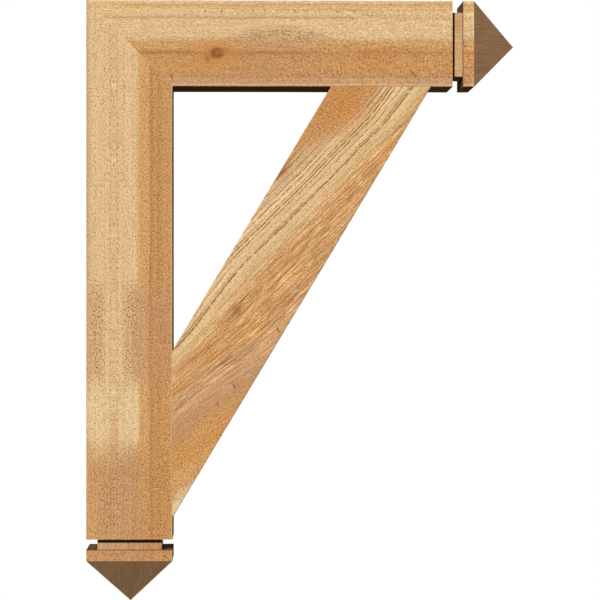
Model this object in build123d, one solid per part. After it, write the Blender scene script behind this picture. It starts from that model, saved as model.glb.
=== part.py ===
from build123d import *
import math
import os

# Timber bracket that carries an eave: a leg on the wall, an arm under the eave and a brace between them.
# Sizes are in millimetres. +X points away from the wall, +Y runs across the timber and +Z points up.
# The origin is the middle of the leg's straight face on the wall.

# Timber
timber = 101.6                 # side of the square lumber that leg, arm and brace are cut from
leg_shaft = 635.0              # leg, from its top down to the groove
arm_shaft = 431.8              # arm, from the wall out to the groove
edge_ease = 1.0                # radius of the sanded long edges

# Sawn ends of leg and arm
groove_width = 12.7            # along the timber
groove_depth = 12.7            # into each of the four faces
cap_band = 12.7                # straight part of the cap beyond the groove
point_slope = 45.0             # degrees between the four faces of the point and its base

# Brace
brace_set_back = 25.4          # from each groove to the brace's outer edge

# Dowels across the mitre
dowel_diameter = 12.0
dowel_length = 50.0
dowel_spacing = 50.0           # along the mitre
dowel_side_clearance = 0.05    # glue film all round
dowel_end_clearance = 0.5      # at each end

# Screws with washer heads, sunk from the wall face and from the top
counterbore_depth = 25.0
screw_bite = 48.4              # reach of a screw past the timber that its head is in
shank_diameter = 6.0
screw_tip = 8.0                # length of the pointed end
head_diameter = 16.0
head_height = 3.2
drive_depth = 2.2
drive_points = 6               # points of the star drive
drive_outer = 5.6              # diameter over the points
drive_inner = 4.0              # diameter between them
bore_clearance = 0.1           # round the shank
bore_end_clearance = 0.5       # past the tip
head_clearance = 4.5           # round the head, for a driver's socket

# Places of the screws
mitre_screw_rise = 28.0        # above the arm's underside
mitre_screw_spacing = 50.0     # across the timber
brace_screw_inset = 25.0       # from the brace's inner edge
brace_screw_spacing = 42.0     # along the face that the brace seats on

# What follows from those sizes
half = timber / 2
top = leg_shaft / 2
leg_end = top - leg_shaft
arm_underside = top - timber
point_height = half * math.tan(math.radians(point_slope))
end_length = groove_width + cap_band + point_height
leg_length = leg_shaft + end_length
arm_length = arm_shaft + end_length
screw_length = timber - counterbore_depth + screw_bite
shank_radius = shank_diameter / 2

# Corners of the brace in the XZ plane
brace_nose = Vector(arm_shaft - brace_set_back, 0, arm_underside)
brace_toe = Vector(timber, 0, leg_end + brace_set_back)
brace_run = brace_nose - brace_toe
brace_head = brace_nose - Vector(timber * brace_run.length / brace_run.Z, 0, 0)
brace_heel = brace_toe + Vector(0, 0, timber * brace_run.length / brace_run.X)


def face_of(plane, points):
    return plane * make_face(Polyline(*points, close=True))


def sawn_end():
    """Outline of the grooved, pointed end as (across, along), from one side round the point to the other."""
    neck = half - groove_depth
    band_start = groove_width
    band_end = groove_width + cap_band
    side = [(half, 0), (neck, 0), (neck, band_start), (half, band_start), (half, band_end)]
    other_side = [(-across, along) for across, along in reversed(side)]
    return side + [(0, end_length)] + other_side


def lumber(plane, length, seat_start, seat_end):
    """Square lumber along the plane's normal, with sanded edges.
    On its +x side the edges stay square along the brace's seat, where the brace's faces run on flush."""
    stock = extrude(plane * RectangleRounded(timber, timber, edge_ease), length)
    brace_side = plane.offset(seat_start) * Pos(half / 2, 0) * Rectangle(half, timber)
    return stock + extrude(brace_side, seat_end - seat_start)


def leg():
    start = Plane(origin=(half, 0, top), x_dir=(1, 0, 0), z_dir=(0, 0, -1))
    stock = lumber(start, leg_length, top - brace_heel.Z, top - brace_toe.Z)
    end = [(across, leg_end - along) for across, along in sawn_end()]
    from_side = [(half + across, z) for across, z in end] + [(0, top), (timber, arm_underside)]
    from_wall = end + [(-half, top), (half, top)]
    side_cut = extrude(face_of(Plane.XZ, from_side), timber, both=True)
    wall_cut = extrude(face_of(Plane.YZ, from_wall), timber)
    return stock & side_cut & wall_cut


def arm():
    start = Plane(origin=(0, 0, top - half), x_dir=(0, 0, -1), z_dir=(1, 0, 0))
    stock = lumber(start, arm_length, brace_head.X, brace_nose.X)
    end = [(arm_shaft + along, across) for across, along in sawn_end()]
    from_side = [(x, top - half + across) for x, across in end] + [(timber, arm_underside), (0, top)]
    from_top = end + [(0, -half), (0, half)]
    side_cut = extrude(face_of(Plane.XZ, from_side), timber, both=True)
    top_cut = extrude(face_of(Plane.XY.offset(arm_underside), from_top), timber)
    return stock & side_cut & top_cut


def brace():
    corners = [(p.X, p.Z) for p in (brace_nose, brace_toe, brace_heel, brace_head)]
    board = extrude(face_of(Plane.XZ, corners), half, both=True)
    return fillet(board.edges().filter_by(Axis(brace_toe, brace_run)), edge_ease)


def dowel():
    return Cylinder(dowel_diameter / 2, dowel_length)


def dowel_hole():
    return Cylinder(dowel_diameter / 2 + dowel_side_clearance, dowel_length + 2 * dowel_end_clearance)


def pointed_rod(radius, length):
    """A rod that hangs down from height 0 and ends in a point."""
    outline = [(0, 0), (radius, 0), (radius, screw_tip - length), (0, -length)]
    return revolve(face_of(Plane.XZ, outline), Axis.Z)


def star_drive():
    turn = 180 / drive_points
    corners = []
    for corner in range(2 * drive_points):
        diameter = drive_inner if corner % 2 else drive_outer
        corners.append(Vector(diameter / 2, 0).rotate(Axis.Z, turn * corner))
    return face_of(Plane.XY, corners)


def screw():
    """A screw that points down, with the underside of its head at height 0."""
    head = extrude(Circle(head_diameter / 2), head_height)
    recess = extrude(Plane.XY.offset(head_height) * star_drive(), -drive_depth)
    return pointed_rod(shank_radius, screw_length) + head - recess


def screw_bore():
    """The hole that a screw sits in, with the counterbore over its head."""
    bore = pointed_rod(shank_radius + bore_clearance, screw_length + bore_end_clearance)
    return bore + extrude(Circle(head_diameter / 2 + head_clearance), counterbore_depth)


def wall_seat(y, z):
    return Plane(origin=(counterbore_depth, y, z), x_dir=(0, 1, 0), z_dir=(-1, 0, 0))


def top_seat(x):
    return Plane(origin=(x, 0, top - counterbore_depth), x_dir=(0, 1, 0), z_dir=(0, 0, 1))


def mitre_seat(distance):
    """Plane of the mitre, at a distance along it from its middle."""
    shift = distance * math.sqrt(0.5)
    return Plane(origin=(half + shift, 0, top - half - shift), x_dir=(0, 1, 0), z_dir=(1, 0, 1))


def placed(seats, shape):
    return [seat * shape for seat in seats]


mitre_screw_height = arm_underside + mitre_screw_rise
brace_screw_places = [brace_screw_inset, brace_screw_inset + brace_screw_spacing]

dowel_seats = [mitre_seat(side * dowel_spacing / 2) for side in (-1, 1)]
mitre_screw_seats = [wall_seat(side * mitre_screw_spacing / 2, mitre_screw_height) for side in (-1, 1)]
foot_screw_seats = [wall_seat(0, brace_heel.Z - place) for place in brace_screw_places]
head_screw_seats = [top_seat(brace_head.X + place) for place in brace_screw_places]

dowel_holes = placed(dowel_seats, dowel_hole())
mitre_bores = placed(mitre_screw_seats, screw_bore())
foot_bores = placed(foot_screw_seats, screw_bore())
head_bores = placed(head_screw_seats, screw_bore())

parts = {
    "leg": leg() - dowel_holes - mitre_bores - foot_bores,
    "arm": arm() - dowel_holes - mitre_bores - head_bores,
    "brace": brace() - foot_bores - head_bores,
    "mitre_dowels": Compound(placed(dowel_seats, dowel())),
    "mitre_screws": Compound(placed(mitre_screw_seats, screw())),
    "brace_foot_screws": Compound(placed(foot_screw_seats, screw())),
    "brace_head_screws": Compound(placed(head_screw_seats, screw())),
}

os.makedirs("parts", exist_ok=True)
for name, shape in parts.items():
    export_step(shape, f"parts/{name}.step")
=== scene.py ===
import math

import bpy
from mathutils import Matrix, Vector


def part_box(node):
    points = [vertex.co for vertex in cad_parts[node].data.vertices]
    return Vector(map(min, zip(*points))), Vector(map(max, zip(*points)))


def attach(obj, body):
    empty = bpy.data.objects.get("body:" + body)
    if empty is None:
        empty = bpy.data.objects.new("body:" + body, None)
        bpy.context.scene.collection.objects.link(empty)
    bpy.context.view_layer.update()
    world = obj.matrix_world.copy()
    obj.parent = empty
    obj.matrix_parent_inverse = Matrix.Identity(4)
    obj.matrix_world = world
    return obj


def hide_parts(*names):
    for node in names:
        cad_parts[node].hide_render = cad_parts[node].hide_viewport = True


# Looks of a timber eave bracket, built round the fixed frame.
# Lengths along and across the timbers are in millimetres, as they are on a bench. Blender's own are metres.

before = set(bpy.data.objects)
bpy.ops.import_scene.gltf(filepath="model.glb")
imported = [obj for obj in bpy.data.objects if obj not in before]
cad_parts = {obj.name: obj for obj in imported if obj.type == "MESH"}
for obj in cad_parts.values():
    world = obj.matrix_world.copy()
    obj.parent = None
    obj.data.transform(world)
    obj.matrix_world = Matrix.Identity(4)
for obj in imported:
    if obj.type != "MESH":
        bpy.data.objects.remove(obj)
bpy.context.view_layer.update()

MM = 0.001

# Sizes read from the frame
leg_low, leg_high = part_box("leg")
arm_low, arm_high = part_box("arm")
brace_low, brace_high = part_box("brace")
timber = (leg_high.x - leg_low.x) / MM
front = leg_low.y / MM
top = leg_high.z / MM
leg_length = (leg_high.z - leg_low.z) / MM
arm_length = (arm_high.x - arm_low.x) / MM

# Sawn ends, as shares of the timber's side
half = timber / 2
groove = timber / 8            # its width and its depth, and the width of the cap's band
point_height = half
leg_shaft = leg_length - point_height - 2 * groove
arm_shaft = arm_length - point_height - 2 * groove

# Brace, from the corners of its box
foot_toe = Vector((brace_low.x, 0, brace_low.z)) / MM
head_nose = Vector((brace_high.x, 0, brace_high.z)) / MM
brace_way = (head_nose - foot_toe).normalized()
brace_across = Vector((brace_way.z, 0, -brace_way.x))
foot_heel = foot_toe + Vector((0, 0, timber / brace_way.x))
head_heel = head_nose - Vector((timber / brace_way.z, 0, 0))
brace_origin = (foot_heel.x, front, foot_heel.z)

# Meshes
ease = 1.0                     # radius of the sanded long edges
ease_steps = 3
mesh_step = 2.1                # distance between the points of a timber's mesh
seat_overlap = 0.4             # the brace's ends reach this far into leg and arm, under their relief
sharp_angle = math.radians(32)

# Relief: the grain is worn down below the sawn faces
relief_depth = 0.28
relief_fade = 4.0              # it dies out over this length at a joint
neck_relief = 0.5              # share of it in the groove
point_relief = 0.4             # and on the point


class Timber:
    """A timber's own axes: along it from its start, across its front face, and into its depth."""

    def __init__(self, name, origin, along, across):
        self.name = name
        self.origin = Vector(origin)
        self.along = Vector(along)
        self.across = Vector(across)
        self.depth = Vector((0, 1, 0))

    def place(self, a, v, w):
        point = self.origin + self.along * a + self.across * v + self.depth * w
        return point * MM


leg_timber = Timber("leg", (0, front, top), (0, 0, -1), (1, 0, 0))
arm_timber = Timber("arm", (0, front, top), (1, 0, 0), (0, 0, -1))
brace_timber = Timber("brace", brace_origin, brace_way, brace_across)

# The brace's grain has axes of its own, at 45 degrees
diagonal = math.sqrt(0.5)
brace_grain = Timber("brace_grain", brace_origin, (diagonal, 0, diagonal), (diagonal, 0, -diagonal))


def section_ring():
    """Points round the square section with eased corners, as (v, w).
    Both are shares of half the side, from -1 to 1."""
    steps = round((timber - 2 * ease) / mesh_step)
    centre = 1 - ease / half
    side = [(-centre + 2 * centre * step / steps, -1) for step in range(steps + 1)]
    turn = math.pi / 2 / ease_steps
    corner = []
    for step in range(1, ease_steps):
        v = centre + ease / half * math.sin(turn * step)
        w = -centre - ease / half * math.cos(turn * step)
        corner.append((v, w))
    quarter = side + corner
    ring = []
    for _ in range(4):
        ring += quarter
        quarter = [(-w, v) for v, w in quarter]
    return ring


def spread(start, end, step):
    """Even places from start to end, about a step apart, without the first."""
    count = max(1, round(abs(end - start) / step))
    return [start + (end - start) * i / count for i in range(1, count + 1)]


class Skin:
    """The mesh of one timber, made ring by ring."""

    def __init__(self, timber_axes):
        self.axes = timber_axes
        self.ring = section_ring()
        self.points = []
        self.faces = []
        self.relief = []
        self.last = None

    def add_ring(self, along_of, scale=1.0, relief=1.0):
        """A ring of points whose place along the timber is along_of(v). Faces join it to the ring before."""
        start = len(self.points)
        for v_share, w_share in self.ring:
            v = half + half * scale * v_share
            w = half + half * scale * w_share
            self.points.append(self.axes.place(along_of(v), v, w))
            self.relief.append(relief)
        if self.last is not None:
            count = len(self.ring)
            for i in range(count):
                j = (i + 1) % count
                self.faces.append((self.last + i, self.last + j, start + j, start + i))
        self.last = start

    def close(self, along, at_start=False):
        """A point in the middle that closes the ring made last, or the first ring."""
        tip = len(self.points)
        first = 0 if at_start else self.last
        self.points.append(self.axes.place(along, half, half))
        self.relief.append(0.0)
        count = len(self.ring)
        for i in range(count):
            j = (i + 1) % count
            corners = (first + j, first + i, tip) if at_start else (first + i, first + j, tip)
            self.faces.append(corners)

    def object(self):
        mesh = bpy.data.meshes.new(self.axes.name + "_skin")
        mesh.from_pydata(self.points, [], self.faces)
        mesh.attributes.new("relief", "FLOAT", "POINT").data.foreach_set("value", self.relief)
        left_handed = self.axes.along.cross(self.axes.across).dot(self.axes.depth) < 0
        if left_handed:
            mesh.flip_normals()
        mesh.update()
        piece = bpy.data.objects.new(self.axes.name + "_timber", mesh)
        bpy.context.collection.objects.link(piece)
        return piece


def fade(distance):
    """How much relief there is this far from a joint, from 0 to 1."""
    return min(1.0, max(0.0, distance / relief_fade))


def finialed_timber(axes, shaft):
    """Leg or arm: a mitred start, the shaft, the groove, the cap band and the point."""
    skin = Skin(axes)
    places = [0.0] + spread(0, shaft, mesh_step)
    for place in places:
        share = place / shaft
        worn = fade(place) * fade(shaft - place)
        skin.add_ring(lambda v: v * (1 - share) + shaft * share, relief=worn)
    neck = 1 - groove / half
    band_start = shaft + groove
    band_end = band_start + groove
    for scale in spread(1, neck, mesh_step / half):
        skin.add_ring(lambda v: shaft, scale, relief=0)
    for place in spread(shaft, band_start, mesh_step):
        skin.add_ring(lambda v: place, neck, relief=neck_relief * fade(band_start - place))
    for scale in spread(neck, 1, mesh_step / half):
        skin.add_ring(lambda v: band_start, scale, relief=0)
    for place in spread(band_start, band_end, mesh_step):
        skin.add_ring(lambda v: place, relief=fade(band_end - place))
    tip = band_end + point_height
    for place in spread(band_end, tip, mesh_step)[:-1]:
        skin.add_ring(lambda v: place, (tip - place) / point_height, relief=point_relief * fade(tip - place))
    skin.close(tip)
    skin.close(half, at_start=True)
    return skin.object()


def brace_board(axes):
    """The brace, with its ends sheared to the faces that it seats on."""
    foot_slope = axes.across.x / axes.along.x
    head_slope = axes.across.z / axes.along.z
    head_start = (head_heel - foot_heel).dot(axes.along)
    skin = Skin(axes)

    def foot(v):
        return -foot_slope * v - seat_overlap / axes.along.x

    def head(v):
        return head_start - head_slope * v + seat_overlap / axes.along.z

    length = head(half) - foot(half)
    for place in [0.0] + spread(0, length, mesh_step):
        share = place / length
        worn = fade(place) * fade(length - place)
        skin.add_ring(lambda v: foot(v) * (1 - share) + head(v) * share, relief=worn)
    skin.close(head(half))
    skin.close(foot(half), at_start=True)
    return skin.object()


# Arithmetic for node trees
class Field:
    """A number or vector in a node tree, of a material or a modifier.
    Sums made with it add nodes to the tree."""

    def __init__(self, tree, socket):
        self.tree = tree
        self.socket = socket

    def node(self, kind, inputs, **settings):
        """A new node with these inputs in order. Returns its first output."""
        node = self.tree.nodes.new(kind)
        for key, value in settings.items():
            setattr(node, key, value)
        for slot, value in zip(node.inputs, inputs):
            feed(self.tree, slot, value)
        return Field(self.tree, node.outputs[0])

    def math(self, operation, *others):
        return self.node("ShaderNodeMath", (self, *others), operation=operation)

    def __add__(self, other):
        return self.math("ADD", other)

    def __sub__(self, other):
        return self.math("SUBTRACT", other)

    def __rsub__(self, other):
        return self.node("ShaderNodeMath", (other, self), operation="SUBTRACT")

    def __mul__(self, other):
        return self.math("MULTIPLY", other)

    def __truediv__(self, other):
        return self.math("DIVIDE", other)

    def __neg__(self):
        return self.math("MULTIPLY", -1.0)

    def __abs__(self):
        return self.math("ABSOLUTE")

    def squared(self):
        return self.math("MULTIPLY", self)

    def clamped(self, low, high):
        return self.math("MAXIMUM", low).math("MINIMUM", high)

    def step(self, low, high):
        """0 below low, 1 above high and smooth between. It falls instead where low is the higher one."""
        return self.node("ShaderNodeMapRange", (self, low, high, 0.0, 1.0), interpolation_type="SMOOTHSTEP")

    def away(self, centre, width):
        """Squared distance from the centre, in widths."""
        return ((self - centre) / width).squared()

    def falloff(self):
        return (-self).math("EXPONENT")

    def bell(self, centre, width):
        """1 at the centre, and less than 0.4 a width away."""
        return self.away(centre, width).falloff()

    def between(self, low, high, soft):
        """1 from low to high, with soft shoulders."""
        return self.step(low - soft, low + soft) * self.step(high + soft, high - soft)


def feed(tree, slot, value):
    """Links a field to an input, or sets the input to a plain value."""
    if isinstance(value, Field):
        tree.links.new(value.socket, slot)
    else:
        slot.default_value = value


def noise(x, y, z, detail=2.0, seed=0.0):
    """Smooth noise about 0.5 at a point of three fields, in the units that each is divided by."""
    point = x.node("ShaderNodeCombineXYZ", (x + seed, y, z))
    texture = x.tree.nodes.new("ShaderNodeTexNoise")
    texture.inputs["Scale"].default_value = 1.0
    texture.inputs["Detail"].default_value = detail
    x.tree.links.new(point.socket, texture.inputs["Vector"])
    return Field(x.tree, texture.outputs[0])


def wave(x, y, z, detail=2.0, seed=0.0):
    """The same noise about 0."""
    return noise(x, y, z, detail, seed) - 0.5


def dot(vector, direction):
    """How far a field of vectors reaches along one direction."""
    node = vector.tree.nodes.new("ShaderNodeVectorMath")
    node.operation = "DOT_PRODUCT"
    feed(vector.tree, node.inputs[0], vector)
    node.inputs[1].default_value = direction
    return Field(vector.tree, node.outputs["Value"])


def lean(normal, direction):
    """How much a normal points along a direction or against it, from 0 to 1."""
    return abs(dot(normal, direction))


def axes_fields(position, axes):
    """Fields along, across and into a timber, in millimetres, from a field of places in the frame."""
    directions = (axes.along, axes.across, axes.depth)
    return [dot(position, direction / MM) - axes.origin.dot(direction) for direction in directions]


# The wood's colours, in the 0 to 255 steps of a screen
def screen(red, green, blue):
    """A colour of the screen as the linear colour that a shader takes."""

    def linear(step):
        share = step / 255
        return share / 12.92 if share <= 0.04045 else ((share + 0.055) / 1.055) ** 2.4

    return (linear(red), linear(green), linear(blue), 1.0)


CREAM = screen(231, 199, 150)
PALE = screen(225, 189, 139)
STRAW = screen(227, 189, 130)
SAND = screen(220, 183, 134)
WHEAT = screen(217, 177, 126)
BUFF = screen(214, 175, 126)
FAWN = screen(206, 163, 114)
ROSE = screen(201, 154, 110)
CLAY = screen(194, 141, 94)
HONEY = screen(211, 158, 99)
TAN = screen(202, 147, 89)
FOOT_TAN = screen(200, 149, 97)
AMBER = screen(206, 144, 76)
BURNT = screen(199, 134, 68)
RUST = screen(191, 133, 76)
BROWN = screen(158, 101, 60)
KNOT = screen(148, 78, 44)
RUSSET = screen(139, 80, 40)
UMBER = screen(106, 62, 34)
# Near white: light specks of the sawn wood, and painted highlights beside grain lines and on fibres
SPECK_AND_HIGHLIGHT = screen(254, 230, 186)
ENDGRAIN = screen(166, 127, 90)
ZINC = screen(214, 196, 150)
DULL_ZINC = screen(186, 164, 110)
BEECH = screen(226, 192, 150)
DARK_BEECH = screen(198, 158, 112)


def mix(amount, first, second):
    """The colour first where amount is 0, second where it is 1."""
    tree = amount.tree
    node = tree.nodes.new("ShaderNodeMix")
    node.data_type = "RGBA"
    node.clamp_factor = True
    colour_inputs = node.inputs[6:8]
    feed(tree, node.inputs[0], amount)
    feed(tree, colour_inputs[0], first)
    feed(tree, colour_inputs[1], second)
    return Field(tree, node.outputs[2])


def shade(colour, amount):
    """The colour times one number, so that grain darkens or lightens it."""
    node = amount.tree.nodes.new("ShaderNodeVectorMath")
    node.operation = "SCALE"
    feed(amount.tree, node.inputs[0], colour if isinstance(colour, Field) else colour[:3])
    feed(amount.tree, node.inputs["Scale"], amount)
    return Field(amount.tree, node.outputs[0])


def bands(place, low, high, stops):
    """Colours across a timber: stops are (place, colour) pairs, in millimetres from low to high."""
    node = place.tree.nodes.new("ShaderNodeValToRGB")
    feed(place.tree, node.inputs[0], (place - low) / (high - low))
    ramp = node.color_ramp
    while len(ramp.elements) > 1:
        ramp.elements.remove(ramp.elements[-1])
    ramp.elements[0].position = (stops[0][0] - low) / (high - low)
    ramp.elements[0].color = stops[0][1]
    for at, colour in stops[1:]:
        ramp.elements.new((at - low) / (high - low)).color = colour
    return Field(place.tree, node.outputs[0])


# Figure of the wood
ring_slant = 0.42              # shift of the growth rings with depth
ring_curve = 0.0030            # and how much faster it gets, per millimetre
leg_heart = 32.6               # the leg's figure is the same on both sides of this line
arm_heart = 227.6              # and the arm's on both sides of this place along it
arch_rise = 29.5               # the arm's arch starts this far below its top, at its heart
arch_curve = 0.0036            # and falls by this share of the squared distance from there
row_start = 35.7               # the first row of dots below its edge, counted the same way
row_curve = 0.0068
row_spacing = 4.4
fan_rate = 0.0021              # the brace's fibres part by this share of their distance, per millimetre
fan_top = 90.0                 # as far as this place along them, which has a shoulder as long
fan_limit = 200.0              # and over this distance from the brace's heel
knot_place = (154, 62.2)       # middle of the arm's knot, as (along, across)
knot_size = (8.4, 6.8)
knot_depth = 12
nick_width = 0.75
nick_depth = 3.0
edge_slant = 0.3               # shift of the rings on the brace's side faces with the place across it
seam = 0.2                     # softness of the border between two faces


def rings_of_timber(along, across, depth):
    """Place across the growth rings, from the front face on round the timber."""
    return across + depth * ring_slant + depth.squared() * ring_curve


def rows_of_brace(along, across):
    """The brace's fibres fan out from its foot."""
    spread_along = along.math("SMOOTH_MIN", fan_top, fan_top).math("MAXIMUM", -fan_limit)
    return across - spread_along * across.clamped(0.0, fan_limit) * fan_rate


def rings_of_brace(along, across, depth):
    """Its growth rings also bend aside twice, most of all along its inner edge."""
    bend = along.step(20, 130) * 13 + along.step(350, 430) * 8
    slow = wave(along / 90, across / 60, 0.0, seed=34) * 8
    quick = wave(along / 13, across / 20, 0.0, seed=33) * 2.6
    on_face = rows_of_brace(along, across) + bend * across.step(55, -10) + slow + quick
    return rings_of_timber(along, on_face, depth)


def growth_lines(along, rings, seed):
    """Long lines of early and late wood, about 0 and mostly within 1 of it."""
    wander = wave(along / 150, rings / 30, 0.0, seed=seed) * 9
    broad = wave(along / 500, (rings + wander) / 7, 0.0, seed=seed + 3)
    fine = wave(along / 130, (rings + wander) / 1.9, 0.0, seed=seed + 7)
    return broad * 3.0 + fine * 4.0


def on_front(depth, reach=30.0):
    """1 on the front face, dying out with depth."""
    return depth.bell(0.0, reach)


def on_cap(along, shaft):
    """1 from the cap's band on to the tip."""
    return along.step(shaft + groove, shaft + groove + seam)


class Wood:
    """The colour and height of one timber's surface, as they are put together."""

    def __init__(self, along, across, depth, rings, colour):
        self.along = along
        self.across = across
        self.depth = depth
        self.rings = rings
        self.colour = colour
        self.height = None

    def tint(self, amount, colour):
        self.colour = mix(amount, self.colour, colour)

    def vary(self, amount):
        """Lightens the colour where amount is above 0 and darkens it where it is below."""
        self.colour = shade(self.colour, amount + 1.0)

    def patch(self, centre, size, reach=30.0):
        """A soft spot, with centre and size as (along, across). It dies out with depth."""
        spot = self.along.away(centre[0], size[0]) + self.across.away(centre[1], size[1])
        return (spot + self.depth.away(0.0, reach)).falloff()

    def spot(self, centre, size, colour, strength):
        self.tint(self.patch(centre, size) * strength, colour)

    def nick(self, centre, tilt, length, strength):
        """A short dark mark on the front face, tilted by some degrees from the grain."""
        turn = math.radians(tilt)
        run = (self.along - centre[0]) * math.cos(turn) + (self.across - centre[1]) * math.sin(turn)
        aside = (self.across - centre[1]) * math.cos(turn) - (self.along - centre[0]) * math.sin(turn)
        near = run.away(0.0, length / 2) + aside.away(0.0, nick_width) + self.depth.away(0.0, nick_depth)
        self.tint(near.falloff() * strength, UMBER)

    def grain(self, contrast, seed):
        lines = growth_lines(self.along, self.rings, seed)
        self.vary(lines * contrast)
        self.height = lines * 0.5

    def mottle(self, contrast, seed, speck_length=2.3):
        """Clouds and specks of the sawn surface."""
        cloud = wave(self.along / 16, self.across / 7, self.depth / 7, seed=seed)
        speck_place = (self.along / speck_length, self.across / 1.3, self.depth / 1.3)
        speck = wave(*speck_place, detail=1.0, seed=seed + 5)
        self.vary((cloud + speck * 3.4) * contrast)
        self.height = self.height + speck * 2.0

    def flecks(self, amount, along, across, seed):
        """Short dark dashes and light specks left by the saw."""
        dashes = noise(along / 2.2, across / 1.3, self.depth / 1.3, detail=1.0, seed=seed)
        dark = dashes.step(0.57, 0.66)
        light = dashes.step(0.42, 0.32)
        core = dashes.step(0.64, 0.72)
        self.tint(dark * amount * 1.4, RUSSET)
        self.tint(core * 0.35, UMBER)
        self.tint(light * amount * 0.6, SPECK_AND_HIGHLIGHT)
        self.height = self.height - dark * 1.5

    def dotted(self, place, width, strength, seed):
        """Dark dots in a row along the grain, where place is near 0."""
        dots = noise(self.along / 3.6, self.depth / 20, 0.0, detail=1.0, seed=seed).step(0.44, 0.60)
        self.tint(place.bell(0.0, width) * dots * strength, UMBER)


def saw_ends(wood, end_facing, front_facing):
    """Faces sawn across the grain are browner, and show the fibres as fine lines down their slope."""
    cloud = wave(wood.across / 14, wood.depth / 14, wood.along / 30, seed=43)
    seen_from_front = noise(wood.across / 1.3, wood.depth / 30, wood.along / 30, detail=2.5, seed=41)
    seen_from_side = noise(wood.depth / 1.3, wood.across / 30, wood.along / 30, detail=2.5, seed=42)
    fibres = seen_from_side + (seen_from_front - seen_from_side) * front_facing - 0.5
    end = shade(ENDGRAIN, fibres * 0.85 + cloud * 0.3 + 1.0)
    wood.colour = mix(end_facing, wood.colour, end)


# Leg
def leg_wood(along, across, depth):
    """Pale wood with the same figure on both sides of its heart line, and brown wood on the right."""
    rings = rings_of_timber(along, across, depth)
    wander = wave(along / 60, rings / 12, 0.0, seed=11) * 4
    stops = [
        (0, ROSE), (3.5, BUFF), (7, PALE), (24, PALE), (30, SAND), (35, SAND), (42, PALE), (58.5, PALE),
        (61, BUFF), (63.5, HONEY), (73, HONEY), (76.5, RUST), (81, TAN), (86, RUST), (91, TAN), (99, TAN),
        (114, AMBER), (126, RUST), (140, TAN), (155, HONEY), (176, BUFF),
    ]
    wood = Wood(along, across, depth, rings, bands(rings + wander, 0, 180, stops))
    aside = abs(across - leg_heart)
    pale_side = rings.step(64, 60)
    right_side = rings.step(61, 66)
    flecked = along.between(338, 448, 16)
    foot = along.step(512, 552)

    darken_flecked_stretch(wood, flecked, aside, pale_side)
    brighten_leg(wood, pale_side)
    brown_foot(wood, foot, pale_side, right_side)

    wood.grain(0.035, seed=1)
    wood.mottle(0.23, seed=2)
    sawn_foot = along.step(545, 575) * across.between(50, 66, 5) * on_front(depth)
    wood.vary(wave(along / 60, rings / 1.2, 0.0, seed=3) * (sawn_foot * 0.55 + 0.16))
    cluster = flecked * aside.between(12, 27, 4) * pale_side
    dark_foot = wood.patch((590, 24), (34, 12))
    crowd = cluster * 0.4 + foot * 0.1 + dark_foot * 0.2 + right_side * 0.1 + 0.33
    wood.flecks(crowd, along, aside, seed=4)
    mark_leg(wood, aside, pale_side)
    return wood


def darken_flecked_stretch(wood, flecked, aside, pale_side):
    """The stretch with the most flecks, which leaves a light stripe along the heart line."""
    rings = wood.rings
    wood.tint(flecked * aside.step(7, 16) * pale_side * 0.85, FAWN)
    wood.tint(flecked * rings.between(55, 71, 3) * 0.9, ROSE)
    wood.tint(flecked * rings.step(68, 74) * 0.85, CLAY)
    wood.tint(aside.bell(0.0, 9.0) * flecked * 0.4, STRAW)


def brighten_leg(wood, pale_side):
    """The light stretch below the flecks."""
    wood.tint(wood.along.between(462, 518, 10) * pale_side * 0.4, CREAM)
    wood.spot((486, 11), (32, 8), CREAM, 0.8)
    wood.spot((486, 53), (32, 7), CREAM, 0.8)
    wood.spot((512, 33), (26, 4), HONEY, 0.7)


def brown_foot(wood, foot, pale_side, right_side):
    """The browner foot of the leg, and its cap."""
    wood.tint(foot * pale_side * 0.92, FOOT_TAN)
    wood.tint(foot * right_side * 0.4, AMBER)
    wood.spot((590, 49), (55, 5), ROSE, 0.9)
    wood.spot((590, 24), (32, 9), CLAY, 0.8)
    wood.spot((560, 38), (24, 5), CLAY, 0.5)
    wood.spot((600, 8), (60, 4), HONEY, 0.7)
    wood.tint(foot * wood.rings.between(53, 72, 5) * 0.65, FOOT_TAN)
    wood.vary(foot * wood.across.step(38, 46) * -0.07)
    wood.tint(on_cap(wood.along, leg_shaft) * 0.5, CLAY)


def mark_leg(wood, aside, pale_side):
    """Rows of dots beside the heart line, pairs of light specks, a brown line along the grain, and painted
    highlights along the right edge and the mitre.
    """
    along, across, depth = wood.along, wood.across, wood.depth
    wood.dotted(aside - 4.1, 0.8, pale_side * 0.45, seed=5)
    wood.dotted(aside - 11.0, 0.8, pale_side * 0.28, seed=8)
    wood.dotted(aside - 22.0, 0.8, pale_side * 0.22, seed=9)
    for place in (100.4, 188.9, 277.1, 462.0):
        pair = along.away(place, 1.3) + aside.away(1.75, 1.0) + depth.away(0.0, 10)
        wood.tint(pair.falloff(), SPECK_AND_HIGHLIGHT)
    # Painted highlight: a light line along the mitre's edge
    mitre = along - across
    mitre_highlight_strength = along.between(42, 60, 5) * 0.5 + 0.1
    wood.tint(mitre.between(0.2, 1.6, 0.5) * mitre_highlight_strength * on_front(depth), CREAM)
    wood.tint(wood.rings.bell(76.0, 0.8) * on_front(depth) * 0.3, BROWN)
    # Painted highlight along the right edge of the front face
    wood.tint(across.step(99.3, 100.8) * on_front(depth, 3) * 0.5, CREAM)


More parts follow.
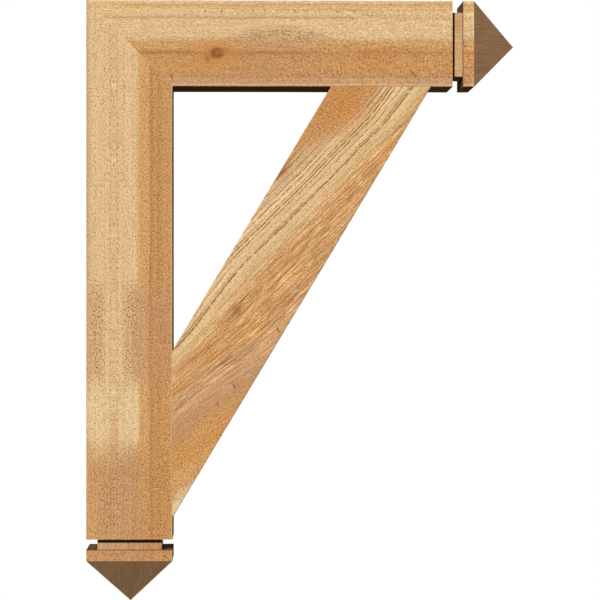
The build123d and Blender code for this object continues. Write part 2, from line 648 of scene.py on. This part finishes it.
# Arm
def arm_wood(along, across, depth):
    """Pale wood above and brown wood below, with a brown arch in the middle and a knot."""
    rings = rings_of_timber(along, across, depth)
    wander = wave(along / 75, rings / 12, 0.0, seed=13) * 6
    stops = [
        (0, STRAW), (3.0, PALE), (4.8, HONEY), (6.8, BUFF), (11, STRAW), (17, PALE), (20.5, BUFF),
        (23.5, PALE), (43, PALE), (45.5, BUFF), (48, HONEY), (57, HONEY), (61, RUST), (66, TAN), (74, TAN),
        (84, TAN), (90, CLAY), (95, ROSE), (99, ROSE), (112, AMBER), (124, RUST), (138, TAN), (152, HONEY),
        (176, PALE),
    ]
    wood = Wood(along, across, depth, rings, bands(rings + wander, 0, 180, stops))
    front_only = on_front(depth)
    arch = abs(along - arm_heart)
    wood.tint(along.step(75, 15) * rings.step(26, 18) * 0.6, STRAW)
    arch_edge = arch.squared() * arch_curve + arch_rise
    under_arch = (across - arch_edge).step(-4.5, 6.0) * across.step(54, 44) * front_only
    wood.tint(under_arch * 0.65, FAWN)
    colour_arm(wood)

    wood.grain(0.05, seed=21)
    wood.mottle(0.29, seed=22, speck_length=4.2)
    wood.vary(wave(along / 45, rings / 1.1, depth / 20, seed=23) * 0.4)
    crowd = rings.step(44, 50) * 0.15 + under_arch * 0.2 + 0.4
    wood.flecks(crowd, along + across * 1.5, arch + across * 0.5, seed=24)
    dot_arm(wood, arch, front_only)
    line_arm(wood, front_only)
    add_knot(wood)
    wood.nick((100.2, 90.3), 65, 7.5, 1.0)
    wood.nick((384.5, 85.0), 58, 8.5, 1.0)
    wood.nick((349.0, 83.0), 55, 6.0, 0.6)
    wood.nick((297.0, 87.0), 60, 5.0, 0.6)
    return wood


def colour_arm(wood):
    """Soft spots of darker and lighter wood."""
    wood.spot((arm_heart, 66), (58, 20), CLAY, 0.75)
    wood.spot((152, 62), (24, 13), AMBER, 0.9)
    wood.spot((125, 80), (26, 9), AMBER, 0.4)
    wood.spot((345, 58), (70, 6), RUST, 0.6)
    wood.spot((345, 80), (70, 10), AMBER, 0.35)
    wood.spot((338, 68), (22, 9), BURNT, 0.5)
    wood.spot((220, 90), (60, 7), CLAY, 0.6)
    wood.spot((235, 53), (40, 5), ROSE, 0.6)
    wood.spot((310, 27), (60, 7), CREAM, 0.35)


def dot_arm(wood, arch, front_only):
    """Dark dots in two rows that follow the arch, and in one near the arm's top."""
    along, across, depth = wood.along, wood.across, wood.depth
    rows = (across - arch.squared() * row_curve - row_start) / row_spacing
    row = (rows - 0.5).math("FRACT").bell(0.5, 0.2) * rows.between(-0.6, 1.7, 0.3) * arch.step(42, 30)
    dots = noise(arch / 2.2, rows * 1.5, 0.0, detail=1.0, seed=25).step(0.50, 0.60)
    wood.tint(row * dots * front_only * 0.85, UMBER)
    top_dots = noise(arch / 5.0, depth / 20, 0.0, detail=1.0, seed=5).step(0.56, 0.66)
    top_row = across.bell(13.0, 1.1) * along.between(125, 330, 20)
    wood.tint(top_dots * top_row * on_front(depth, 10) * 0.6, UMBER)


def line_arm(wood, front_only):
    """Single and dotted lines along the arm, a light line near its lower edge, and a painted highlight along
    that edge.
    """
    along, across, depth = wood.along, wood.across, wood.depth
    drift = wave(along / 40, depth / 40, 0.0, seed=6) * 5
    wood.tint((across + drift).bell(20.5, 0.8) * along.step(345, 290) * front_only * 0.35, BROWN)
    wood.tint((across + drift * 0.7).bell(11.0, 0.7) * along.step(150, 220) * front_only * 0.3, BROWN)
    wood.dotted(across + drift - 17.0, 0.9, along.between(290, 420, 30) * 0.4, seed=7)
    wood.tint((across + drift).bell(61.8, 1.6) * along.between(65, 260, 15) * front_only * 0.5, BROWN)
    wood.tint((across + drift * 0.6).bell(93.0, 0.9) * front_only * 0.15, CREAM)
    # Painted highlight along the lower edge of the front face
    wood.tint(across.bell(99.3, 1.0) * on_front(depth, 3) * 0.45, CREAM)


def add_knot(wood):
    """The arm's knot, with rings of its own and burnt wood round it."""
    along, across, depth = wood.along, wood.across, wood.depth
    whirl = wave(along / 3.2, across / 2.2, depth / 20, seed=26)
    knot = wood.patch(knot_place, knot_size, reach=knot_depth) + whirl * 0.9
    wood.spot((154, 62.4), (17, 10), BURNT, 0.95)
    wood.tint(knot.step(0.12, 0.80) * 0.95, KNOT)
    wood.tint(wood.patch((154, 62.0), (3.4, 2.8), reach=knot_depth) * (whirl + 0.6) * 0.5, CLAY)
    sideways = along.away(knot_place[0], knot_size[0]) + across.away(knot_place[1], knot_size[1])
    turns = sideways + depth.away(0.0, knot_depth) + whirl * 0.5
    knot_ring = (turns.math("MAXIMUM", 0.0).math("SQRT") * 3.2).math("FRACT").bell(0.5, 0.22)
    wood.tint(knot_ring * turns.step(1.1, 0.5) * 0.5, UMBER)
    wood.tint(wood.patch((163, 59.5), (7, 2.4), reach=knot_depth) * 0.8, BROWN)
    wood.spot((142.5, 68.5), (3.5, 5.0), BROWN, 0.8)
    wood.spot((176, 60.5), (16, 2.6), RUST, 0.9)


# Brace
def brace_wood(along, across, depth):
    """Here along and across follow the grain, which runs slantwise over the brace.
    Spots and nicks are placed along the grain and across the growth rings."""
    rings = rings_of_brace(along, across, depth)
    rows = rows_of_brace(along, across) + (rings - across) * 0.25
    stops = [
        (-80, TAN), (-58, RUST), (-50, TAN), (-42, BUFF), (-33, SAND), (-26, CREAM), (-12, STRAW),
        (-2, CREAM), (6, STRAW), (12, WHEAT), (19, HONEY), (25, TAN), (31, HONEY), (38, TAN), (47, TAN),
        (55, HONEY), (62, HONEY), (72, CLAY), (84, CLAY), (92, TAN), (118, AMBER), (134, HONEY), (160, TAN),
        (190, BUFF), (215, HONEY),
    ]
    wood = Wood(along, rings, depth, rings, bands(rings, -80, 220, stops))
    front_only = on_front(depth, 60)
    colour_brace(wood)

    wood.grain(0.03, seed=31)
    wood.mottle(0.18, seed=32)
    smooth = wood.patch((350, -56), (75, 26), reach=60).step(0.2, 0.6)
    striped = rings.between(10, 60, 6)
    rosy = rows.between(48, 78, 7)
    lined = rings.between(-66, 2, 4) * (1.0 - smooth * 0.9)
    wood.tint(rosy * front_only * 0.65, ROSE)
    fine = streak_brace(wood, rows, striped, rosy, lined, front_only)
    broken = noise(along / 6.5, rings / 6, 0.0, detail=1.0, seed=36).step(0.34, 0.50)
    worn = line_brace(wood, lined, broken, front_only)
    add_long_lines(wood, broken, front_only)
    wood.height = wood.height - worn + fine * striped * 3.0

    wood.tint(smooth * 0.85, TAN)
    wood.spot((354, -52), (46, 20), BURNT, 0.95)
    crowd = rings.step(80, 95) * 0.14 + smooth * 0.25 - rosy * 0.08 + 0.28
    wood.flecks(crowd, along, across, seed=37)
    mark_brace(wood)
    return wood


def colour_brace(wood):
    """Soft spots of darker and lighter wood, two of them at the toe."""
    wood.spot((356, -36), (50, 22), BURNT, 0.7)
    wood.spot((410, -4), (30, 12), CREAM, 0.6)
    wood.spot((330, 18), (60, 10), AMBER, 0.4)
    wood.spot((60, 34), (60, 14), AMBER, 0.5)
    wood.spot((-124, 172), (24, 13), CREAM, 1.2)
    wood.spot((-100, 159), (18, 9), CREAM, 0.8)
    wood.spot((150, -8), (40, 10), CREAM, 0.35)


def streak_brace(wood, rows, striped, rosy, lined, front_only):
    """Fine streaks, painted glints of light and brown streaks along the fibres. Returns the fine streaks,
    for the height.
    """
    along, depth = wood.along, wood.depth
    fine = wave(along / 60, rows / 0.95, depth / 20, detail=1.5, seed=35)
    coarse = wave(along / 110, rows / 3.5, depth / 25, seed=38)
    fine_contrast = striped * 1.8 + rosy * 0.9 + lined * 0.9 + 0.6
    coarse_contrast = striped * 0.7 + rosy * 0.4 + 0.2
    wood.vary(fine * fine_contrast + coarse * coarse_contrast)
    glints = noise(along / 18, rows / 0.8, depth / 20, detail=1.0, seed=39)
    # Painted glints of light on the fibres
    wood.tint(glints.step(0.56, 0.70) * (striped * 0.5 + rosy * 0.2 + 0.1) * front_only, SPECK_AND_HIGHLIGHT)
    wood.tint(glints.step(0.44, 0.30) * (striped * 0.5 + rosy * 0.3 + 0.1) * front_only, BROWN)
    return fine


def line_brace(wood, lined, broken, front_only):
    """Dark lines in the pale wood, with honey edges and a painted highlight beside each. Returns how far
    they are worn down.
    """
    along, rings, depth = wood.along, wood.rings, wood.depth
    crowd = wave(rings / 8, depth / 60, 0.0, seed=40) * 9
    phase = ((rings + crowd) / 5.6).math("FRACT")
    strong = noise(along / 90, rings / 5.0, 0.0, seed=45).step(0.30, 0.52)
    # Painted highlight beside each dark line
    wood.tint(phase.bell(0.66, 0.12) * strong * lined * front_only * 0.45, SPECK_AND_HIGHLIGHT)
    wood.tint(phase.bell(0.46, 0.26) * strong * lined * front_only * 0.4, HONEY)
    wood.tint(phase.bell(0.50, 0.14) * strong * lined * front_only * 0.25, RUST)
    wood.tint(phase.bell(0.50, 0.10) * strong * broken * lined * front_only * 0.95, UMBER)
    return phase.bell(0.5, 0.12) * strong * lined * 1.5


def add_long_lines(wood, broken, front_only):
    """The brace's two long dark lines, with honey edges and a painted highlight beside each."""
    rings = wood.rings
    for place, strength in ((-17.0, 0.7), (0.5, 0.85)):
        # Painted highlight beside the line
        wood.tint(rings.bell(place + 1.3, 0.9) * front_only * strength * 0.5, SPECK_AND_HIGHLIGHT)
        wood.tint(rings.bell(place - 0.4, 1.8) * front_only * strength * 0.5, HONEY)
        wood.tint(rings.bell(place, 1.0) * front_only * strength * 0.3, RUST)
        wood.tint(rings.bell(place, 0.7) * broken * front_only * strength * 1.15, UMBER)
        wood.height = wood.height - rings.bell(place, 0.9) * 2.0


def mark_brace(wood):
    """Two dark spots at the inner edge, a small brown one and the nicks."""
    wood.spot((236, -47), (13, 6), KNOT, 0.95)
    wood.spot((222, -50), (6, 3), KNOT, 0.7)
    wood.spot((87, 21.6), (6, 3.5), BROWN, 0.7)
    wood.nick((104.7, 59.3), -70, 8, 1.0)
    wood.nick((21.2, 77.2), -70, 8, 1.0)
    wood.nick((-7.5, 83.2), -60, 6, 0.8)
    wood.nick((-67.6, 94.8), -50, 5, 0.6)


def brace_edge_wood(along, across, depth):
    """The two long faces beside the front, where along follows the brace itself."""
    rings = depth + across * edge_slant
    wander = wave(along / 80, depth / 14, 0.0, seed=47) * 9
    stops = [
        (0, HONEY), (9, BUFF), (16, WHEAT), (24, HONEY), (35, TAN), (45, HONEY), (56, BUFF), (66, HONEY),
        (80, TAN), (92, CLAY), (104, TAN), (120, HONEY), (135, AMBER),
    ]
    wood = Wood(along, depth, across, rings, bands(rings + wander, 0, 140, stops))
    wood.grain(0.05, seed=48)
    wood.mottle(0.18, seed=49)
    wood.flecks(0.3, along, depth, seed=50)
    return wood


# Materials
wood_shine = 0.14
bump_strength = 0.5
bump_height = 0.3              # in millimetres


def principled(name):
    material = bpy.data.materials.new(name)
    material.use_nodes = True
    shader = material.node_tree.nodes["Principled BSDF"]
    return material, material.node_tree, shader


def place_of_object(tree):
    coordinates = tree.nodes.new("ShaderNodeTexCoord")
    return Field(tree, coordinates.outputs["Object"])


def facing(tree, direction):
    """How much a face looks along a direction or against it, from 0 to 1."""
    geometry = tree.nodes.new("ShaderNodeNewGeometry")
    return lean(Field(tree, geometry.outputs["True Normal"]), direction)


def finish_wood(wood, tree, shader):
    feed(tree, shader.inputs["Base Color"], wood.colour)
    grit = noise(wood.along / 9, wood.across / 3, wood.depth / 3, seed=51)
    feed(tree, shader.inputs["Roughness"], grit * 0.25 + 0.55)
    shader.inputs["Specular IOR Level"].default_value = wood_shine
    bump = tree.nodes.new("ShaderNodeBump")
    bump.inputs["Strength"].default_value = bump_strength
    bump.inputs["Distance"].default_value = bump_height * MM
    feed(tree, bump.inputs["Height"], wood.height)
    tree.links.new(bump.outputs["Normal"], shader.inputs["Normal"])


def timber_material(axes, wood_of, shaft, end_colour):
    """Wood of the leg or the arm, whose neck in the groove and sawn end have looks of their own. The
    groove's walls are darkened with painted shade.
    """
    material, tree, shader = principled(axes.name + "_cedar")
    along, across, depth = axes_fields(place_of_object(tree), axes)
    wood = wood_of(along, across, depth)
    neck = along.between(shaft, shaft + groove, seam)
    wood.tint(neck * 0.6, end_colour)
    wood.tint(neck * across.step(62, 25) * 0.9, ROSE)
    wood.vary(neck * wave(across / 1.4, along / 30, depth / 30, seed=44) * 0.9)
    wood.vary(on_cap(along, shaft) * wave(across / 9, along / 40, depth / 30, seed=46) * 0.5)
    end_facing = facing(tree, axes.along)
    saw_ends(wood, end_facing.step(0.25, 0.5), facing(tree, axes.depth).step(0.3, 0.6))
    # Painted shade on the walls of the groove, which face along the timber
    groove_walls_painted_shade = end_facing.step(0.8, 0.95) * along.between(shaft, shaft + groove, 0.5)
    wood.vary(groove_walls_painted_shade * -0.6)
    finish_wood(wood, tree, shader)
    return material


def brace_material():
    material, tree, shader = principled("brace_cedar")
    place = place_of_object(tree)
    wood = brace_wood(*axes_fields(place, brace_grain))
    edge = brace_edge_wood(*axes_fields(place, brace_timber))
    beside = facing(tree, brace_timber.across).step(0.5, 0.9)
    wood.colour = mix(beside, wood.colour, edge.colour)
    wood.height = wood.height + (edge.height - wood.height) * beside
    finish_wood(wood, tree, shader)
    return material


def steel_material():
    material, tree, shader = principled("yellow_zinc")
    along, across, depth = axes_fields(place_of_object(tree), leg_timber)
    wear = noise(along / 1.5, across / 1.5, depth / 1.5, detail=3.0, seed=62)
    shader.inputs["Metallic"].default_value = 1.0
    feed(tree, shader.inputs["Base Color"], mix(wear.step(0.35, 0.7), DULL_ZINC, ZINC))
    feed(tree, shader.inputs["Roughness"], wear * 0.3 + 0.25)
    return material


def dowel_material():
    material, tree, shader = principled("beech")
    along, across, depth = axes_fields(place_of_object(tree), brace_grain)
    lines = noise(along / 40, across / 1.2, depth / 1.2, detail=3.0, seed=61)
    feed(tree, shader.inputs["Base Color"], mix(lines.step(0.35, 0.65), DARK_BEECH, BEECH))
    feed(tree, shader.inputs["Roughness"], lines * 0.2 + 0.45)
    return material


# Pieces
head_diameter = 16.0           # of the screws
hole_radius = 12.5             # of the holes over their heads
hole_depth = 25.0
hole_sides = 48


def drill(piece, seats, direction):
    """Sinks a round hole into the piece at each seat, which is the middle of the hole's mouth.
    The direction points in."""
    for seat in seats:
        bpy.ops.mesh.primitive_cylinder_add(
            vertices=hole_sides, radius=hole_radius * MM, depth=2 * hole_depth * MM,
            location=Vector(seat) * MM, rotation=Vector(direction).to_track_quat("Z", "Y").to_euler())
        cutter = bpy.context.object
        cut = piece.modifiers.new("hole", "BOOLEAN")
        cut.operation = "DIFFERENCE"
        cut.solver = "EXACT"
        cut.object = cutter
        graph = bpy.context.evaluated_depsgraph_get()
        drilled = bpy.data.meshes.new_from_object(piece.evaluated_get(graph))
        piece.modifiers.remove(cut)
        piece.data = drilled
        bpy.data.objects.remove(cutter)


def screw_places(node, axis):
    """Where the two screws of a node are on one axis of the frame."""
    low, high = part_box(node)
    return low[axis] / MM + head_diameter / 2, high[axis] / MM - head_diameter / 2


def relief_lines(place, normal, axes, rings_of, seed, edge_axes):
    """How deep the face is worn between the growth lines, from 0 to 1.
    Faces that look along edge_axes.across have lines that follow those axes instead."""
    along, across, depth = axes_fields(place, axes)
    lines = growth_lines(along, rings_of(along, across, depth), seed)
    if edge_axes:
        edge_along, edge_across, edge_depth = axes_fields(place, edge_axes)
        edge_lines = growth_lines(edge_along, edge_depth + edge_across * edge_slant, seed)
        lines = lines + (edge_lines - lines) * lean(normal, edge_axes.across).step(0.5, 0.9)
    hollows = noise(along / 35, across / 18, depth / 18, seed=71)
    return (0.5 - lines * 0.45).clamped(0.0, 1.0) * 0.6 + hollows * 0.4


def add_relief(piece, axes, rings_of, seed, edge_axes=None):
    """Sinks the face between the growth lines a little, as weather and a stiff brush do."""
    group = bpy.data.node_groups.new(piece.name + "_relief", "GeometryNodeTree")
    group.interface.new_socket("Geometry", in_out="INPUT", socket_type="NodeSocketGeometry")
    group.interface.new_socket("Geometry", in_out="OUTPUT", socket_type="NodeSocketGeometry")
    way_in = group.nodes.new("NodeGroupInput")
    way_out = group.nodes.new("NodeGroupOutput")
    place = Field(group, group.nodes.new("GeometryNodeInputPosition").outputs[0])
    normal = Field(group, group.nodes.new("GeometryNodeInputNormal").outputs[0])
    share = group.nodes.new("GeometryNodeInputNamedAttribute")
    share.data_type = "FLOAT"
    share.inputs["Name"].default_value = "relief"

    sunk = relief_lines(place, normal, axes, rings_of, seed, edge_axes)
    distance = sunk * Field(group, share.outputs[0]) * (-relief_depth * MM)
    move = group.nodes.new("GeometryNodeSetPosition")
    group.links.new(way_in.outputs[0], move.inputs["Geometry"])
    feed(group, move.inputs["Offset"], shade(normal, distance))
    group.links.new(move.outputs[0], way_out.inputs[0])
    piece.modifiers.new("relief", "NODES").node_group = group


def dress(piece, node, material):
    piece.data.materials.clear()
    piece.data.materials.append(material)
    piece.data.polygons.foreach_set("use_smooth", [True] * len(piece.data.polygons))
    piece.data.set_sharp_from_angle(angle=sharp_angle)
    piece.visible_diffuse = False  # as in the photo, no light goes from piece to piece
    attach(piece, "root")
    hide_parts(node)


def build_leg():
    leg = finialed_timber(leg_timber, leg_shaft)
    height = sum(screw_places("mitre_screws", 2)) / 2
    seats = [(0, y, height) for y in screw_places("mitre_screws", 1)]
    seats += [(0, 0, z) for z in screw_places("brace_foot_screws", 2)]
    drill(leg, seats, (1, 0, 0))
    dress(leg, "leg", timber_material(leg_timber, leg_wood, leg_shaft, CLAY))
    add_relief(leg, leg_timber, rings_of_timber, seed=1)


def build_arm():
    arm = finialed_timber(arm_timber, arm_shaft)
    drill(arm, [(x, 0, top) for x in screw_places("brace_head_screws", 0)], (0, 0, -1))
    dress(arm, "arm", timber_material(arm_timber, arm_wood, arm_shaft, BUFF))
    add_relief(arm, arm_timber, rings_of_timber, seed=21)


def build_brace():
    brace = brace_board(brace_timber)
    dress(brace, "brace", brace_material())
    add_relief(brace, brace_grain, rings_of_brace, seed=31, edge_axes=brace_timber)


def finish_fasteners():
    steel = steel_material()
    for node in ("mitre_screws", "brace_foot_screws", "brace_head_screws"):
        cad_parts[node].material_slots[0].material = steel
    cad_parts["mitre_dowels"].material_slots[0].material = dowel_material()


# Camera, lights and floor, in metres
camera_place = Vector((0.16179, -3.7296, -0.03947))
camera_aim = Vector((0.2517, -0.0508, -0.03556))
camera_lens = 187.37
ambient = 0.03                 # light from all round
floor_drop = 0.65
floor_radius = 1.3
floor_sides = 96
floor_colour = (0.82, 0.81, 0.79, 1)
floor_roughness = 0.8
floor_glow = (1, 1, 0.98, 1)
floor_glow_strength = 0.35


def turn_to(thing, direction):
    thing.rotation_euler = Vector(direction).to_track_quat("-Z", "Y").to_euler()


def add_camera():
    camera = bpy.data.objects.new("camera", bpy.data.cameras.new("camera"))
    camera.data.lens = camera_lens
    camera.location = camera_place
    turn_to(camera, camera_aim - camera_place)
    bpy.context.collection.objects.link(camera)
    bpy.context.scene.camera = camera


def add_sun(name, towards, strength, softness, shine=True):
    """A lamp far away. Softness is in degrees, and a lamp without shine gives no highlights."""
    lamp = bpy.data.lights.new(name, "SUN")
    lamp.energy = strength
    lamp.angle = math.radians(softness)
    sun = bpy.data.objects.new(name, lamp)
    sun.visible_glossy = shine
    turn_to(sun, -Vector(towards))
    bpy.context.collection.objects.link(sun)


def add_world():
    """White where the camera looks past the object, and a weak even light on it."""
    world = bpy.data.worlds.new("studio")
    world.use_nodes = True
    tree = world.node_tree
    background = tree.nodes["Background"]
    background.inputs["Color"].default_value = (1, 1, 1, 1)
    seen = Field(tree, tree.nodes.new("ShaderNodeLightPath").outputs["Is Camera Ray"])
    feed(tree, background.inputs["Strength"], seen * (1 - ambient) + ambient)
    bpy.context.scene.world = world


def add_floor():
    """A pale floor well below the object, clear from below. It neither shades the object nor lights it."""
    bpy.ops.mesh.primitive_circle_add(vertices=floor_sides, radius=floor_radius, fill_type="NGON",
                                      location=(camera_aim.x, 0, -floor_drop))
    floor = bpy.context.object
    floor.name = "floor"
    material, tree, shader = principled("pale_floor")
    shader.inputs["Base Color"].default_value = floor_colour
    shader.inputs["Roughness"].default_value = floor_roughness
    shader.inputs["Emission Color"].default_value = floor_glow
    shader.inputs["Emission Strength"].default_value = floor_glow_strength
    clear = tree.nodes.new("ShaderNodeBsdfTransparent")
    either = tree.nodes.new("ShaderNodeMixShader")
    tree.links.new(tree.nodes.new("ShaderNodeNewGeometry").outputs["Backfacing"], either.inputs[0])
    tree.links.new(shader.outputs[0], either.inputs[1])
    tree.links.new(clear.outputs[0], either.inputs[2])
    tree.links.new(either.outputs[0], tree.nodes["Material Output"].inputs["Surface"])
    floor.data.materials.append(material)
    floor.visible_diffuse = False
    floor.visible_glossy = False
    floor.visible_shadow = False


build_leg()
build_arm()
build_brace()
finish_fasteners()
add_camera()
add_sun("key", (-0.249, -0.907, 0.341), strength=3.5, softness=1.5)
add_sun("back", (-0.05, 0.99, 0.10), strength=2.2, softness=12, shine=False)
add_sun("side", (0.97, 0.10, -0.12), strength=0.5, softness=8, shine=False)
add_world()
add_floor()
bpy.context.scene.view_settings.view_transform = "Standard"
